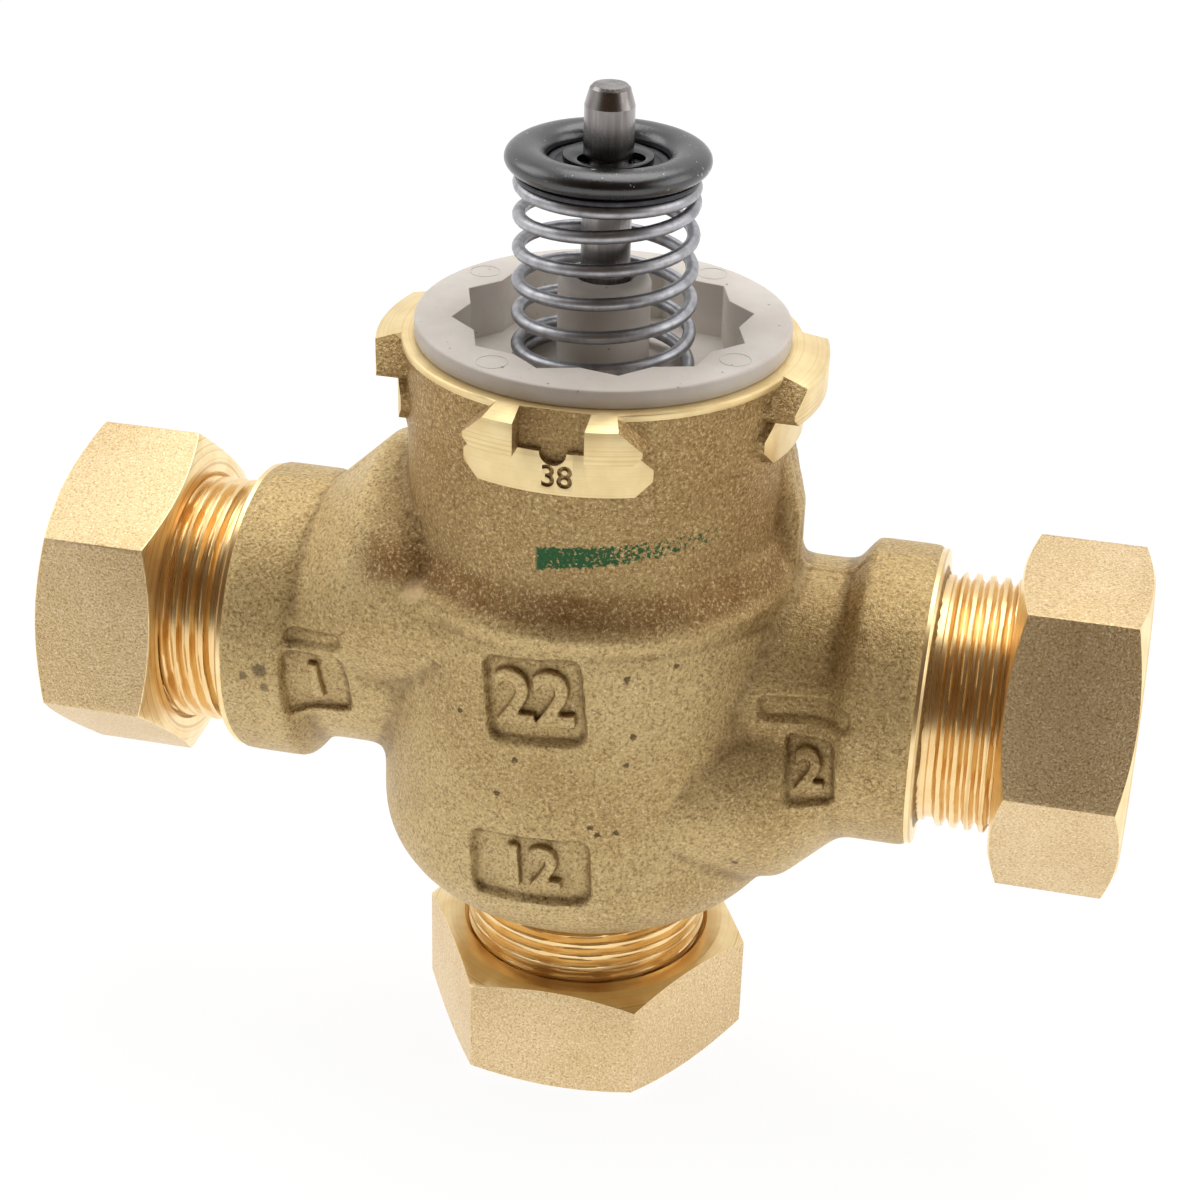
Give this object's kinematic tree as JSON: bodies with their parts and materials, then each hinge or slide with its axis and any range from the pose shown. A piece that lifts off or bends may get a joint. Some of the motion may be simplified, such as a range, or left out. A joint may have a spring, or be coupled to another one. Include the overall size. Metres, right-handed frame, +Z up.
{
  "type": "diverter valve body",
  "caption": "Cast three-way diverter valve with compression pipe joints, spring-loaded stem, twelve-point plastic bonnet and hooked lugs for a clip-on actuator.",
  "frame": {"origin": "centre of the bounding box's base: the end face of the lower nut, on the stem line", "axes": "+X from port A to port B along the port axis, +Y towards the back, +Z up the stem"},
  "size_m": [0.1156, 0.0457, 0.1103],
  "materials": {
    "cast_brass": "bead-blasted sand casting",
    "nut_brass": "turned ends, finely textured flats",
    "olive_brass": "soft turned brass",
    "bonnet_plastic": "moulded, satin",
    "sleeve_plastic": "moulded",
    "spool_plastic": "moulded, glass-filled",
    "bush_plastic": "moulded",
    "seal_rubber": "matt rubber",
    "bumper_rubber": "matt rubber, dusty",
    "spring_steel": "drawn stainless wire",
    "stem_steel": "ground stainless steel",
    "black_steel": "black oxide",
    "clip_black": "black oxide, glossy"
  },
  "bodies": {
    "valve": {"valve_body": "cast_brass", "bonnet": "bonnet_plastic", "bonnet_seal": "seal_rubber", "flow_sleeve": "sleeve_plastic", "sleeve_seal_upper": "seal_rubber", "sleeve_seal_middle": "seal_rubber", "sleeve_seal_lower": "seal_rubber", "stem_seal_upper": "seal_rubber", "stem_seal_lower": "seal_rubber", "gland_bush": "bush_plastic", "return_spring": "spring_steel"},
    "plunger": {"stem": "stem_steel", "stem_clip": "clip_black", "spring_plate": "black_steel", "bumper_ring": "bumper_rubber", "spool": "spool_plastic", "spool_seal_upper": "seal_rubber", "spool_seal_lower": "seal_rubber", "spool_washer": "stem_steel", "spool_clip": "clip_black"},
    "olive_a_body": {"olive_a": "olive_brass"},
    "nut_a_body": {"nut_a": "nut_brass"},
    "olive_b_body": {"olive_b": "olive_brass"},
    "nut_b_body": {"nut_b": "nut_brass"},
    "olive_ab_body": {"olive_ab": "olive_brass"},
    "nut_ab_body": {"nut_ab": "nut_brass"}
  },
  "joints": [
    {"name": "plunger_slide", "type": "slide", "parent": "valve", "child": "plunger", "axis": [0, 0, -1], "range_m": [0, 0.006], "stiffness_N_per_m": 950, "springref_m": -0.008, "deforming": ["return_spring"]},
    {"name": "olive_a_slide", "type": "slide", "parent": "valve", "child": "olive_a_body", "axis": [-1, 0, 0], "range_m": [0, 0.006]},
    {"name": "nut_a_turn", "type": "hinge", "parent": "olive_a_body", "child": "nut_a_body", "pos_m": [-0.05115, 0, 0.04765], "axis": [-1, 0, 0], "range_deg": [0, 1440]},
    {"name": "olive_b_slide", "type": "slide", "parent": "valve", "child": "olive_b_body", "axis": [1, 0, 0], "range_m": [0, 0.006]},
    {"name": "nut_b_turn", "type": "hinge", "parent": "olive_b_body", "child": "nut_b_body", "pos_m": [0.05115, 0, 0.04765], "axis": [1, 0, 0], "range_deg": [0, 1440]},
    {"name": "olive_ab_slide", "type": "slide", "parent": "valve", "child": "olive_ab_body", "axis": [0, 0, -1], "range_m": [0, 0.006]},
    {"name": "nut_ab_turn", "type": "hinge", "parent": "olive_ab_body", "child": "nut_ab_body", "pos_m": [0, 0, 0.0067], "axis": [0, 0, -1], "range_deg": [0, 1440]}
  ],
  "couplings": [
    {"joint": "nut_a_turn", "follows": "olive_a_slide", "rad_per_m": 4188.8},
    {"joint": "nut_b_turn", "follows": "olive_b_slide", "rad_per_m": 4188.8},
    {"joint": "nut_ab_turn", "follows": "olive_ab_slide", "rad_per_m": 4188.8}
  ]
}
